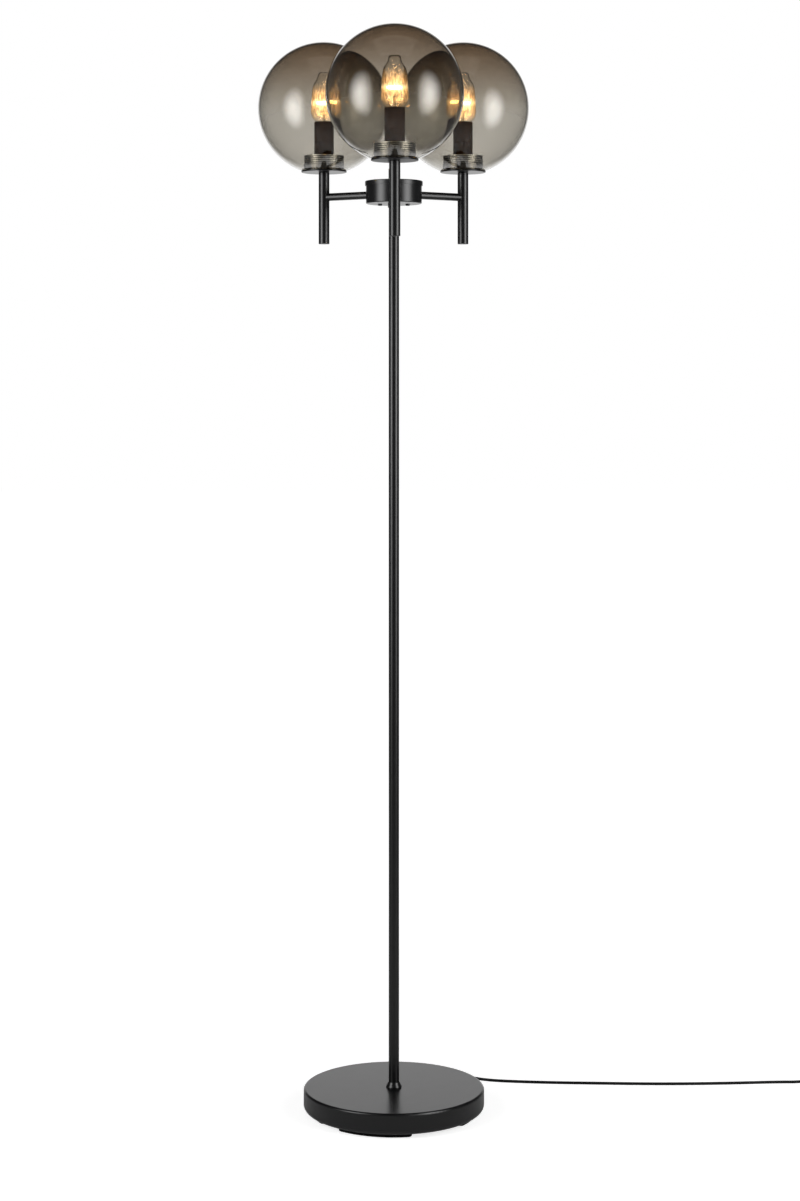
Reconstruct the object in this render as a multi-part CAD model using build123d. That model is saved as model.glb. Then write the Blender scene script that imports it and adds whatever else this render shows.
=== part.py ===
from build123d import *
import math
import os

# A floor lamp with three glass globes on arms round a slim pole. Millimetres, +Z up.
# The origin is on the floor at the middle of the round base, and the front arm points along -Y.

# Base
base_r = 121.0
base_top = 34.0
base_bottom = 5.5
base_sheet = 2.0
base_edge_r = 3.0
base_roll_r = 7.0
plate_bottom = 6.0
plate_sheet = 1.5
weight_r = 105.0
cavity_r = 22.0
cavity_top = 26.0
pad_outer_r = 110.0
pad_inner_r = 97.0
pad_span = 56.0
pad_angles = (-15.5, 81.5, 175.0, 272.0)
plate_screw_r = 60.0

# Pole, from the base to the hub
pole_r = 7.0
pole_wall = 1.2
pole_top = 1218.7
pole_sections = ("lower", "middle", "upper")
bush_length = 14.0
rod_r = 5.0
rod_bore_r = 3.2
thread_gap = 0.05
root_collar_r = 10.5
root_collar_height = 7.0
neck_collar_r = 8.0
neck_collar_height = 5.2

# Hub
hub_r = 37.5
hub_wall = 1.8
hub_floor = 2.0
hub_rim_z = 1247.3
lid_r = 38.8
lid_top = 1249.0
lid_skirt_bottom = 1243.0
finial_r = 7.25
finial_top = 1266.0
hub_screw_r = 21.5

# Arms and risers
arm_z = 1231.8
arm_r = 5.2
arm_wall = 1.0
arm_start = 17.0
reach = 109.5
riser_r = 7.35
riser_wall = 1.0
riser_bottom = 1168.0
sides = {"front": 270, "right": 30, "left": 150}

# Globes and their holders
disc_r = 31.0
disc_sheet = 1.8
disc_top = 1267.6
globe_r = 90.0
globe_wall = 2.2
globe_z = 1353.0
mouth_r = 27.6
ring_r = 25.15
ring_wall = 1.5
ring_height = 12.5
collar_r = 27.5
collar_bore_r = 25.5
collar_height = 21.0
collar_rib_depth = 0.9
collar_rib_pitch = 2.6
collar_ribs = 4

# Lampholders and lamps
socket_r = 13.25
socket_bore_r = 12.2
socket_seam = 1307.0
socket_top = 1334.5
socket_floor = 3.0
insert_r = 12.1
insert_bottom = 1296.0
insert_top = 1320.0
cap_bore_r = 7.3
cap_r = 6.95
cap_bottom = socket_top - 31.2
cap_top = socket_top - 10.0
bulb_r = 17.75
bulb_length = 67.0
# Radius, height over the lampholder and the way out of the glass, in degrees over level.
bulb_outline = (
    (cap_r + 0.2, cap_top - socket_top, 0),
    (11.2, -0.2, -30),
    (15.2, 4.5, -35),
    (bulb_r, 21.0, 0),
    (16.8, 37.0, 8),
    (13.0, 54.0, 20),
    (8.6, 61.8, 45),
    (0, bulb_length, 90),
)
bulb_wall = 0.8
stem_r = 2.0
stem_top = socket_top + 15.0
filament_r = 9.5
filament_wire_r = 0.6
filament_gap = 50.0
filament_z = socket_top + 26.0
support_r = 0.35
support_count = 6

# Mains lead
cord_d = 4.0
exit_angle = 168.5
exit_z = 16.5
gland_r = 4.2
gland_inner = 106.0
gland_flange_r = 6.0
gland_flange = 1.5
relief_length = 26.0
lead_bend = 4.8
lead_top_z = 1240.0

# Foot switch, on the floor past the lamp
switch_x = 680.0
switch_y = 124.0
switch_length = 92.0
switch_width = 56.0
switch_split = 8.0
switch_top = 22.0
switch_wall = 2.0
switch_cord_z = 7.5
switch_relief = 22.0
button_r = 15.0
button_top = 27.0
button_flange_r = 17.5
button_gap = 0.4
spring_r = 5.6
spring_wire_r = 0.6
spring_turns = 5

# Spare lead, wound in a coil, and the plug
coil_x = 806.0
coil_mean_r = 22.4
coil_pitch = 5.4
coil_rise = 4.8
coil_layers = 4
coil_halves = 3
plug_tip_x = 734.0
plug_relief = 24.0
plug_length = 36.0
plug_width = 35.3
plug_thick = 13.7
pin_r = 2.0
pin_length = 19.0
pin_spacing = 18.6

hub_bottom = pole_top
cord_r = cord_d / 2
exit_way = (math.sin(math.radians(exit_angle)), -math.cos(math.radians(exit_angle)))

parts = {}


def at(r, z):
    # A point of a turned outline: its distance from the axis and its height.
    return (r, 0, z)


def turned(*edges):
    return revolve(make_face(list(edges)), Axis.Z, 360)


def turned_line(*points):
    return turned(*Polyline(*[at(r, z) for r, z in points], close=True).edges())


def rod(r, bottom, top):
    return Pos(0, 0, bottom) * Cylinder(r, top - bottom, align=(Align.CENTER, Align.CENTER, Align.MIN))


def tube(outer, inner, bottom, top):
    return rod(outer, bottom, top) - rod(inner, bottom - 1, top + 1)


def radial(r, start, end, z):
    # A bar along +X from one distance to another, at a height.
    return Pos(start, 0, z) * Rot(0, 90, 0) * rod(r, 0, end - start)


def hexagon(across_flats, bore, bottom, height):
    outline = RegularPolygon(across_flats / math.sqrt(3), 6)
    return Pos(0, 0, bottom) * extrude(outline, height) - rod(bore, bottom - 1, bottom + height + 1)


def turn_to(angle):
    return Rot(0, 0, angle)


def from_front(angle):
    # An angle counted from the front towards +X, as a turn of what lies along +X.
    return turn_to(angle - 90)


def section(path, r):
    return Plane(origin=path @ 0, z_dir=path % 0) * Circle(r)


def swept(path, r):
    return sweep(section(path, r), path=path)


# ---- Base ----


def filleted_rod(r, bottom, top, bottom_fillet, top_fillet):
    piece = rod(r, bottom, top)
    piece = fillet(piece.edges().group_by(Axis.Z)[0], bottom_fillet)
    return fillet(piece.edges().group_by(Axis.Z)[-1], top_fillet)


# The cover is one pressed sheet: a crisp upper edge, and a lower edge rolled well inwards.
mouth = base_r - base_roll_r
rod_hole_r = rod_r + 0.3
gland_hole_r = gland_r + 0.1
base_cover = filleted_rod(base_r, base_bottom, base_top, base_roll_r, base_edge_r)
base_cover -= filleted_rod(
    base_r - base_sheet,
    base_bottom + base_sheet,
    base_top - base_sheet,
    base_roll_r - base_sheet,
    base_edge_r - base_sheet,
)
base_cover -= rod(mouth, base_bottom - 1, base_bottom + base_sheet + 1)
base_cover -= rod(rod_hole_r, base_top - base_sheet - 1, base_top + 1)
base_cover -= from_front(exit_angle) * radial(gland_hole_r, base_r - 6, base_r + 1, exit_z)
parts["base_cover"] = base_cover

plate_r = mouth - 0.4
plate_top = plate_bottom + plate_sheet
weight_top = base_top - base_sheet
channel_width = 8.0
channel_top = exit_z + cord_r + 1.0
screw_angles = (exit_angle + 60, exit_angle + 180, exit_angle + 300)
screw_head_r = 3.6
screw_head = 2.0
screw_slot = 1.0
screw_shank_r = 2.0
screw_end = 22.0

base_weight = rod(weight_r, plate_top, weight_top)
base_weight -= rod(cavity_r, plate_top - 1, cavity_top)
base_weight -= rod(rod_hole_r, plate_top, weight_top + 1)
channel = Box(
    weight_r + 1,
    channel_width,
    channel_top - plate_top,
    align=(Align.MIN, Align.CENTER, Align.MIN),
)
base_weight -= from_front(exit_angle) * Pos(0, 0, plate_top) * channel
base_plate = rod(plate_r, plate_bottom, plate_top)
plate_screws = []
for angle in screw_angles:
    place = from_front(angle) * Pos(plate_screw_r, 0, 0)
    base_weight -= place * rod(screw_shank_r + 0.1, plate_top - 1, screw_end + 1)
    base_plate -= place * rod(screw_shank_r + 0.3, plate_bottom - 1, plate_top + 1)
    head = rod(screw_head_r, plate_bottom - screw_head, plate_bottom)
    head = fillet(head.edges().group_by(Axis.Z)[0], 1.2)
    slot = Pos(0, 0, plate_bottom - screw_head) * Box(2 * screw_head_r + 1, screw_slot, screw_head)
    plate_screws.append(place * (head + rod(screw_shank_r, plate_bottom, screw_end) - slot))
parts["base_weight"] = base_weight
parts["base_plate"] = base_plate
parts["base_plate_screws"] = Compound(children=plate_screws)


def foot_pad(angle):
    # A bar bent to the base's curve, with round ends and a softened sole.
    middle_r = (pad_outer_r + pad_inner_r) / 2
    width = pad_outer_r - pad_inner_r
    end_angle = math.degrees(width / 2 / middle_r)
    arc = CenterArc((0, 0, 0), middle_r, angle - 90 - pad_span / 2 + end_angle, pad_span - 2 * end_angle)
    pad = extrude(SlotArc(arc, width), plate_bottom)
    return chamfer(pad.edges().group_by(Axis.Z)[0], 1.0)


parts["foot_pads"] = Compound(children=[foot_pad(angle) for angle in pad_angles])

parts["pole_root_collar"] = turned_line(
    (pole_r + thread_gap, base_top),
    (root_collar_r, base_top),
    (root_collar_r, base_top + 1.0),
    (pole_r + 0.6, base_top + root_collar_height),
    (pole_r + thread_gap, base_top + root_collar_height),
)

nut_flats = 14.0
nut_height = 4.0
washer_r = 9.0
washer_sheet = 1.4
parts["base_washer"] = tube(washer_r, rod_r + thread_gap, cavity_top - washer_sheet, cavity_top)
rod_nuts = [hexagon(nut_flats, rod_r + thread_gap, cavity_top - washer_sheet - nut_height, nut_height)]
pole_rods = [tube(rod_r, rod_bore_r, cavity_top - 7.1, base_top + bush_length)]

# ---- Pole ----

pole_length = (pole_top - base_top) / len(pole_sections)
bushes = []
for i, name in enumerate(pole_sections):
    bottom = base_top + i * pole_length
    top = bottom + pole_length
    parts["pole_" + name] = tube(pole_r, pole_r - pole_wall, bottom, top)
    bush_r = pole_r - pole_wall - thread_gap
    bushes.append(tube(bush_r, rod_r + thread_gap, bottom, bottom + bush_length))
    bushes.append(tube(bush_r, rod_r + thread_gap, top - bush_length, top))
    if i > 0:
        pole_rods.append(tube(rod_r, rod_bore_r, bottom - bush_length, bottom + bush_length))
parts["pole_bushes"] = Compound(children=bushes)
parts["pole_rods"] = Compound(children=pole_rods)
parts["pole_neck_collar"] = tube(neck_collar_r, pole_r + thread_gap, pole_top - neck_collar_height, pole_top)

# ---- Hub ----

spider_r = 25.0
spider_sheet = 3.0
spider_bottom = hub_bottom + hub_floor
spider_top = spider_bottom + spider_sheet
lug_outer = 28.0
lug_sheet = 4.0
lug_width = 15.0
lug_top = arm_z + 8.0
arm_nut_flats = 13.0
hub_screw_shank_r = 1.5
hub_screw_head_r = 2.9
hub_screw_head = 1.8
cross_slot = 0.8

hub_body = rod(hub_r, hub_bottom, hub_rim_z)
hub_body = fillet(hub_body.edges().group_by(Axis.Z)[0], 1.5)
hub_body -= rod(hub_r - hub_wall, spider_bottom, hub_rim_z + 1)
hub_body -= rod(rod_hole_r, hub_bottom - 1, spider_bottom + 1)
spider = tube(spider_r, rod_hole_r, spider_bottom, spider_top)
arm_nuts = []
hub_screws = []
for angle in sides.values():
    place = turn_to(angle)
    hub_body -= place * radial(arm_r + 0.15, hub_r - 5, hub_r + 5, arm_z)
    lug = Pos(lug_outer, 0, spider_bottom) * Box(
        lug_sheet,
        lug_width,
        lug_top - spider_bottom,
        align=(Align.MAX, Align.CENTER, Align.MIN),
    )
    lug -= radial(arm_r + thread_gap, lug_outer - lug_sheet - 1, lug_outer + 1, arm_z)
    spider += place * lug
    nut = Rot(0, 90, 0) * hexagon(arm_nut_flats, arm_r + thread_gap, 0, nut_height)
    arm_nuts.append(place * Pos(lug_outer - lug_sheet - nut_height, 0, arm_z) * nut)
    screw_place = place * Pos(hub_screw_r, 0, 0)
    hub_body -= screw_place * rod(hub_screw_shank_r + 0.2, hub_bottom - 1, spider_bottom + 1)
    spider -= screw_place * rod(hub_screw_shank_r + 0.1, spider_bottom - 1, spider_top + 1)
    head = rod(hub_screw_head_r, hub_bottom - hub_screw_head, hub_bottom)
    head = fillet(head.edges().group_by(Axis.Z)[0], 1.0)
    for quarter in (0, 90):
        slot = turn_to(quarter) * Box(1.3 * hub_screw_head_r, cross_slot, hub_screw_head)
        head -= Pos(0, 0, hub_bottom - hub_screw_head) * slot
    hub_screws.append(screw_place * (head + rod(hub_screw_shank_r, hub_bottom, spider_top + 0.4)))
parts["hub_body"] = hub_body
parts["hub_spider"] = spider
parts["arm_nuts"] = Compound(children=arm_nuts)
parts["hub_screws"] = Compound(children=hub_screws)

hub_lid = rod(lid_r, lid_skirt_bottom, lid_top)
hub_lid = fillet(hub_lid.edges().group_by(Axis.Z)[-1], 1.0)
hub_lid -= rod(hub_r + 0.3, lid_skirt_bottom - 1, hub_rim_z)
hub_lid -= rod(rod_hole_r, lid_skirt_bottom, lid_top + 1)
parts["hub_lid"] = hub_lid

finial = rod(finial_r, lid_top, finial_top)
finial = fillet(finial.edges().group_by(Axis.Z)[-1], 1.2)
finial = chamfer(finial.edges().group_by(Axis.Z)[0], 0.5)
parts["lid_finial"] = finial - rod(rod_r + thread_gap, lid_top - 1, finial_top - 3.0)
hub_rod = tube(rod_r, rod_bore_r, pole_top - bush_length, finial_top - 3.5)
hub_rod -= Pos(0, 0, lead_top_z) * Rot(-90, 0, 0) * rod(cord_r + 0.6, 0, 2 * rod_r)
parts["hub_rod"] = hub_rod
rod_nuts.append(hexagon(nut_flats, rod_r + thread_gap, spider_top, nut_height))

block_y = 23.0
block_height = 10.0
block = Box(22.0, 11.0, block_height, align=(Align.CENTER, Align.CENTER, Align.MIN))
block = fillet(block.edges().filter_by(Axis.Z), 1.0)
for x in (-7, 0, 7):
    block -= Pos(x, 0, 0) * rod(1.9, block_height - 4, block_height + 1)
parts["terminal_block"] = Pos(0, block_y, spider_top) * block

# ---- Mains lead inside the lamp ----

relief_root = base_r + gland_flange
relief_tip = relief_root + relief_length
lead = FilletPolyline(
    (exit_way[0] * relief_tip, exit_way[1] * relief_tip, exit_z),
    (0, 0, exit_z),
    (0, 0, lead_top_z),
    (0, 16.0, lead_top_z),
    radius=lead_bend,
)
parts["mains_lead"] = swept(lead, cord_r)

# A push-in bush in the cover's wall: a flange outside, a barb behind the sheet.
barb_r = gland_r + 0.7
barb_outer = base_r - base_sheet - 0.2
gland = radial(gland_r, gland_inner, base_r, exit_z)
gland += radial(gland_flange_r, base_r, relief_root, exit_z)
gland += radial(barb_r, barb_outer - 1.2, barb_outer, exit_z)
gland -= radial(cord_r + 0.15, gland_inner - 1, relief_root + 1, exit_z)
parts["cord_gland"] = from_front(exit_angle) * gland


def relief(length, root_r, tip_r, bore):
    # A tapered sleeve along +X with bending grooves, thick end first.
    sleeve = Rot(0, 90, 0) * turned_line((bore, 0), (root_r, 0), (root_r, 3), (tip_r, length), (bore, length))
    grooves = 4
    for i in range(grooves):
        x = 5 + i * (length - 8) / grooves
        r = root_r - (root_r - tip_r) * (x - 3) / (length - 3)
        sleeve -= Pos(x, 0, 0) * Rot(0, 90, 0) * tube(root_r + 1, r - 0.6, 0, 1.4)
    return sleeve


base_relief = relief(relief_length, 4.4, 2.9, cord_r + thread_gap)
parts["base_relief"] = from_front(exit_angle) * Pos(relief_root, 0, exit_z) * base_relief

# ---- Arms, risers and globe holders ----

holder_groups = (
    "arms",
    "risers",
    "holder_discs",
    "globe_rings",
    "socket_skirts",
    "socket_sleeves",
    "socket_inserts",
    "holder_nipples",
    "lamp_wires",
)
nipple_bottom = disc_top - disc_sheet - 10.0
lock_nut_bottom = disc_top + socket_floor
wire_r = 1.3
group = {name: [] for name in holder_groups}
for side, angle in sides.items():
    place = turn_to(angle)
    out = place * Pos(reach, 0, 0)

    arm_end = reach - riser_r + riser_wall + 0.6
    arm = radial(arm_r, arm_start, arm_end, arm_z) - radial(arm_r - arm_wall, arm_start - 1, arm_end + 1, arm_z)
    group["arms"].append(place * arm)

    riser = rod(riser_r, riser_bottom, disc_top - disc_sheet)
    riser = fillet(riser.edges().group_by(Axis.Z)[0], 0.6)
    riser = chamfer(riser.edges().group_by(Axis.Z)[-1], 0.7)
    riser -= rod(riser_r - riser_wall, riser_bottom + 1.5, nipple_bottom)
    riser -= rod(rod_r + thread_gap, nipple_bottom - 1, disc_top)
    riser -= Pos(-reach, 0, 0) * radial(arm_r + thread_gap, reach - 2 * riser_r, reach, arm_z)
    group["risers"].append(out * riser)

    disc = turned_line(
        (rod_r + 0.1, disc_top - disc_sheet),
        (disc_r - 0.5, disc_top - disc_sheet),
        (disc_r, disc_top - disc_sheet + 0.5),
        (disc_r, disc_top - 0.4),
        (disc_r - 0.4, disc_top),
        (rod_r + 0.1, disc_top),
    )
    group["holder_discs"].append(out * disc)

    thread = [(ring_r - ring_wall, disc_top), (ring_r, disc_top), (ring_r, disc_top + 2.0)]
    for i in range(3):
        z = disc_top + 2.4 + i * 3.2
        thread += [(ring_r - 0.6, z), (ring_r - 0.6, z + 1.2), (ring_r, z + 1.8), (ring_r, z + 2.8)]
    thread.append((ring_r - 0.6, disc_top + ring_height))
    thread.append((ring_r - ring_wall, disc_top + ring_height))
    group["globe_rings"].append(out * turned_line(*thread))

    skirt = rod(socket_r, disc_top, socket_seam)
    skirt -= rod(socket_bore_r - 1.7, disc_top + socket_floor, insert_bottom)
    skirt -= rod(socket_bore_r, insert_bottom, socket_seam + 1)
    skirt -= rod(rod_r + thread_gap, disc_top - 1, disc_top + socket_floor + 1)
    notch = Pos(socket_r, 0, disc_top + collar_height + 3.0) * Box(1.2, 5.0, 2.4)
    group["socket_skirts"].append(out * turn_to(-90 - angle) * (skirt - notch))

    sleeve = [(socket_bore_r, socket_seam), (socket_r - 0.4, socket_seam), (socket_r, socket_seam + 0.5)]
    sleeve += [(socket_r, socket_top - 0.8), (socket_r - 0.3, socket_top), (socket_bore_r, socket_top)]
    group["socket_sleeves"].append(out * turned_line(*sleeve))

    insert = rod(insert_r, insert_bottom, insert_top)
    insert = chamfer(insert.edges().group_by(Axis.Z)[-1], 0.8)
    insert -= rod(cap_bore_r, cap_bottom, insert_top + 1)
    insert -= rod(2.2, insert_bottom - 1, insert_bottom + 3)
    group["socket_inserts"].append(out * insert)

    group["holder_nipples"].append(out * tube(rod_r, rod_bore_r, nipple_bottom, disc_top + socket_floor + 5.5))
    rod_nuts.append(out * hexagon(nut_flats, rod_r + thread_gap, lock_nut_bottom, nut_height))
    wire = FilletPolyline((11.0, 0, arm_z), (reach, 0, arm_z), (reach, 0, insert_bottom - 6.0), radius=4.0)
    group["lamp_wires"].append(place * swept(wire, wire_r))
for name, pieces in group.items():
    parts[name] = Compound(children=pieces)
parts["rod_nuts"] = Compound(children=rod_nuts)


# ---- Lamps and globes ----

def bulb_line(wall):
    # The half outline of the lamp's glass from neck to tip, moved in by the wall.
    spots = []
    for r, rise, slope in bulb_outline:
        lean = math.radians(slope)
        spots.append(at(r - wall * math.cos(lean), socket_top + rise - wall * math.sin(lean)))
    return Spline(spots, tangents=[(0.3, 0, 1), (-1, 0, -0.3)])


def bulb_glass():
    # A blown shell, open at the neck where the stem seals it.
    outer = bulb_line(0)
    inner = bulb_line(bulb_wall)
    return turned(outer, inner, Line(outer @ 0, inner @ 0), Line(outer @ 1, inner @ 1))


def bulb_cap():
    # A lamp cap with its rolled screw thread and the contact below it.
    outline = [(0, cap_bottom), (2.4, cap_bottom), (2.4, cap_bottom + 1.2), (5.6, cap_bottom + 3.4)]
    turns = 5
    pitch = 2.8
    for i in range(turns):
        z = cap_bottom + 3.4 + i * pitch
        outline += [(cap_r - 0.7, z + 0.3), (cap_r, z + 1.1), (cap_r, z + 1.7), (cap_r - 0.7, z + 2.5)]
    outline += [(cap_r, cap_top - 2.0), (cap_r, cap_top), (0, cap_top)]
    return turned_line(*outline)


def filament():
    # A glass stem whose button carries fine supports, fanned out to a coiled wire bent in an open ring.
    made = turned_line(
        (0, cap_top),
        (cap_bore_r - 2.0, cap_top),
        (stem_r, cap_top + 8.0),
        (stem_r, stem_top - 2.0),
        (stem_r + 0.9, stem_top - 1.0),
        (stem_r + 0.9, stem_top),
        (0, stem_top),
    )
    ring = CenterArc((0, 0, filament_z), filament_r, filament_gap / 2, 360 - filament_gap)
    made += swept(ring, filament_wire_r)
    for i in range(support_count):
        way = turn_to(filament_gap / 2 + i * (360 - filament_gap) / (support_count - 1))
        support = Line((stem_r, 0, stem_top - 0.5), (filament_r, 0, filament_z))
        made += way * swept(support, support_r)
    return made


def collar():
    # The ring in the globe's mouth: smooth below, ribbed above, bored to clear the thread ring.
    bottom = disc_top
    top = disc_top + collar_height
    outline = [(collar_bore_r, bottom), (collar_r, bottom)]
    first = top - 0.4 - collar_ribs * collar_rib_pitch
    for i in range(collar_ribs):
        z = first + i * collar_rib_pitch
        outline += [(collar_r, z), (collar_r - collar_rib_depth, z + 0.5)]
        outline += [(collar_r - collar_rib_depth, z + 1.1), (collar_r, z + 1.6)]
    outline += [(collar_r, top - 0.4), (collar_r - 0.4, top), (collar_bore_r, top)]
    return turned_line(*outline)


def globe():
    shell = Pos(0, 0, globe_z) * (Sphere(globe_r) - Sphere(globe_r - globe_wall))
    shell -= rod(mouth_r, globe_z - globe_r - 1, globe_z)
    return shell - rod(globe_r, disc_top - 20, disc_top)


for side, angle in sides.items():
    out = turn_to(angle) * Pos(reach, 0, 0) * turn_to(-angle)
    parts["bulb_glass_" + side] = out * bulb_glass()
    parts["bulb_base_" + side] = Compound(children=[out * bulb_cap(), out * filament()])
    parts["globe_" + side] = out * globe()
    parts["globe_collar_" + side] = out * collar()


# ---- Free lead: its straight runs meet in the widest arcs that they leave room for ----

def lead_path(name, points):
    points = [Vector(*p) for p in points]
    radii = []
    for before, corner, after in zip(points, points[1:], points[2:]):
        turn = (corner - before).get_angle(after - corner)
        run = min((corner - before).length, (after - corner).length)
        radii.append(0.45 * run / math.tan(math.radians(turn) / 2))
    print(name, "radii, mm:", [round(r) for r in radii])
    return FilletPolyline(*points, radius=radii)


def lead_tube(name, points):
    path = lead_path(name, points)
    solid = swept(path, cord_r)
    share = solid.volume / (math.pi * cord_r**2 * path.length)
    print(name, "length", round(path.length, 1), "volume share", round(share, 4))
    return solid


lead_route = [
    (exit_way[0] * relief_tip, exit_way[1] * relief_tip, exit_z),
    (exit_way[0] * (relief_tip + 22), exit_way[1] * (relief_tip + 22), exit_z),
    (54.0, 180.5, 8.0),
    (78.0, 176.0, cord_r),
    (103.0, 156.0, cord_r),
    (131.0, 137.5, cord_r),
    (180.0, 129.5, cord_r),
    (232.0, 124.6, cord_r),
    (284.0, 121.9, cord_r),
    (336.0, 118.8, cord_r),
    (388.0, 117.6, cord_r),
    (440.0, 118.8, cord_r),
    (490.0, 121.6, cord_r),
    (536.0, 125.3, cord_r),
    (572.0, 124.8, cord_r),
    (594.0, 124.0, switch_cord_z),
    (612.0, 124.0, switch_cord_z),
]
parts["lead_to_switch"] = lead_tube("lead_to_switch", lead_route)

switch_end = switch_x + switch_length / 2 + switch_relief
coil_route = [
    (switch_end, switch_y, switch_cord_z),
    (switch_end + 17, switch_y, switch_cord_z),
    (switch_end + 37, switch_y, cord_r),
    (coil_x - cord_d, switch_y, cord_r),
]
parts["lead_to_coil"] = lead_tube("lead_to_coil", coil_route)

coil_swing = coil_halves * coil_pitch / 4
coil_outer = coil_mean_r + coil_swing
coil_y = switch_y - coil_outer


def coil_path():
    # Half turns that shrink and grow by half a pitch, with a climb where the spiral reverses.
    side = 1
    r = coil_outer
    z = cord_r
    here = Vector(coil_x, coil_y + r, z)
    edges = [Line(here - Vector(cord_d, 0, 0), here)]
    step = -coil_pitch / 2
    for layer in range(coil_layers):
        for half in range(coil_halves):
            r += step
            side = -side
            there = Vector(coil_x, coil_y + side * r, z)
            edges.append(TangentArc(here, there, tangent=(-side, 0, 0)))
            here = there
        if layer < coil_layers - 1:
            side = -side
            apex = math.hypot(r, coil_rise / 2)
            middle = Vector(coil_x - side * apex, coil_y, z + coil_rise / 2)
            z += coil_rise
            there = Vector(coil_x, coil_y + side * r, z)
            rising = TangentArc(here, middle, tangent=(-side, 0, 0))
            edges.append(rising)
            edges.append(TangentArc(middle, there, tangent=rising % 1))
            here = there
            step = -step
    edges.append(Line(here, here - Vector(cord_d, 0, 0)))
    return Wire(edges)


def least_gap(path, spacing, apart):
    # The smallest space between two stretches of one tube that lie further apart along it.
    count = int(path.length / spacing)
    spots = [path @ (i / count) for i in range(count + 1)]
    skip = int(apart / spacing)
    pairs = ((a, b) for i, a in enumerate(spots) for b in spots[i + skip:])
    return min((a - b).length for a, b in pairs) - cord_d


coil = coil_path()
parts["lead_coil"] = swept(coil, cord_r)
coil_share = parts["lead_coil"].volume / (math.pi * cord_r**2 * coil.length)
print("lead_coil length", round(coil.length, 1), "volume share", round(coil_share, 4))
print("lead_coil least gap to itself, mm:", round(least_gap(coil, 2.0, 30.0), 2))

coil_exit = coil @ 1
plug_z = plug_thick / 2
plug_route = [
    (coil_exit.X, coil_exit.Y, coil_exit.Z),
    (coil_exit.X - 16, coil_exit.Y, coil_exit.Z),
    (plug_tip_x + 18, coil_exit.Y, plug_z),
    (plug_tip_x, coil_exit.Y, plug_z),
]
parts["lead_to_plug"] = lead_tube("lead_to_plug", plug_route)

# ---- Foot switch ----

switch_place = Pos(switch_x, switch_y, 0)
outline = SlotOverall(switch_length, switch_width)
inside = SlotOverall(switch_length - 2 * switch_wall, switch_width - 2 * switch_wall)
lower = extrude(outline, switch_split)
lower = fillet(lower.edges().group_by(Axis.Z)[0], 1.0)
lower -= Pos(0, 0, switch_wall) * extrude(inside, switch_split)
spring_seat = 6.0
seat_r = 9.0
lower += rod(seat_r, switch_wall, spring_seat)
lower += rod(spring_r - spring_wire_r - 0.6, spring_seat, spring_seat + 5.0)
upper = Pos(0, 0, switch_split) * extrude(outline, switch_top - switch_split, taper=9)
upper = fillet(upper.edges().group_by(Axis.Z)[-1], 4.0)
upper -= Pos(0, 0, switch_split) * extrude(inside, switch_top - switch_split - switch_wall, taper=9)
upper -= rod(button_r + button_gap, switch_split, switch_top + 1)
post_x = 32.0
post_r = 4.0
post_bore_end = 18.0
switch_screw_r = 1.5
switch_head_r = 3.0
switch_head_bottom = 0.6
switch_head_top = 2.6
slot = Pos(0, 0, switch_head_bottom) * Box(2 * switch_head_r + 1, 0.9, 1.8)
screw = rod(switch_head_r, switch_head_bottom, switch_head_top) - slot
screw += rod(switch_screw_r, switch_head_top, post_bore_end - 1)
switch_screws = []
for x in (-post_x, post_x):
    place = Pos(x, 0, 0)
    lower += place * rod(post_r, switch_wall, switch_split)
    upper += place * rod(post_r, switch_split, switch_top - switch_wall)
    lower -= place * rod(switch_screw_r + 0.3, -1, switch_split + 1)
    lower -= place * rod(switch_head_r + 0.3, -1, switch_head_top)
    upper -= place * rod(switch_screw_r + 0.1, switch_split - 1, post_bore_end)
    switch_screws.append(place * screw)
for way in (-1, 1):
    hole_start = switch_length / 2 - 6
    hole = radial(cord_r + 0.1, hole_start, switch_length / 2 + 1, switch_cord_z)
    turned_hole = turn_to(0 if way > 0 else 180) * hole
    lower -= turned_hole
    upper -= turned_hole
parts["switch_lower"] = switch_place * lower
parts["switch_upper"] = switch_place * upper
parts["switch_screws"] = switch_place * Compound(children=switch_screws)

flange_top = switch_top - switch_wall
flange_bottom = flange_top - 2.5
button_wall = 2.0
dish_r = 60.0
dish_depth = 1.2
button = rod(button_r, flange_bottom, button_top)
button = fillet(button.edges().group_by(Axis.Z)[-1], 2.0)
button += rod(button_flange_r, flange_bottom, flange_top)
button -= rod(button_r - button_wall, flange_bottom - 1, button_top - button_wall)
dish = Pos(0, 0, button_top + dish_r - dish_depth) * Sphere(dish_r)
parts["switch_button"] = switch_place * (button - dish)
spring_height = button_top - button_wall - spring_seat - 2 * spring_wire_r - 0.2
spring_line = Helix(spring_height / spring_turns, spring_height, spring_r)
spring_start = spring_seat + spring_wire_r + 0.1
parts["switch_spring"] = switch_place * Pos(0, 0, spring_start) * sweep(
    section(spring_line, spring_wire_r), path=spring_line, is_frenet=True
)
switch_boot = relief(switch_relief, 4.6, 2.9, 0.0)
right_end = Pos(switch_length / 2, 0, switch_cord_z)
left_end = Pos(-switch_length / 2, 0, switch_cord_z) * turn_to(180)
parts["switch_reliefs"] = switch_place * Compound(children=[left_end * switch_boot, right_end * switch_boot])

# ---- Plug ----

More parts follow.
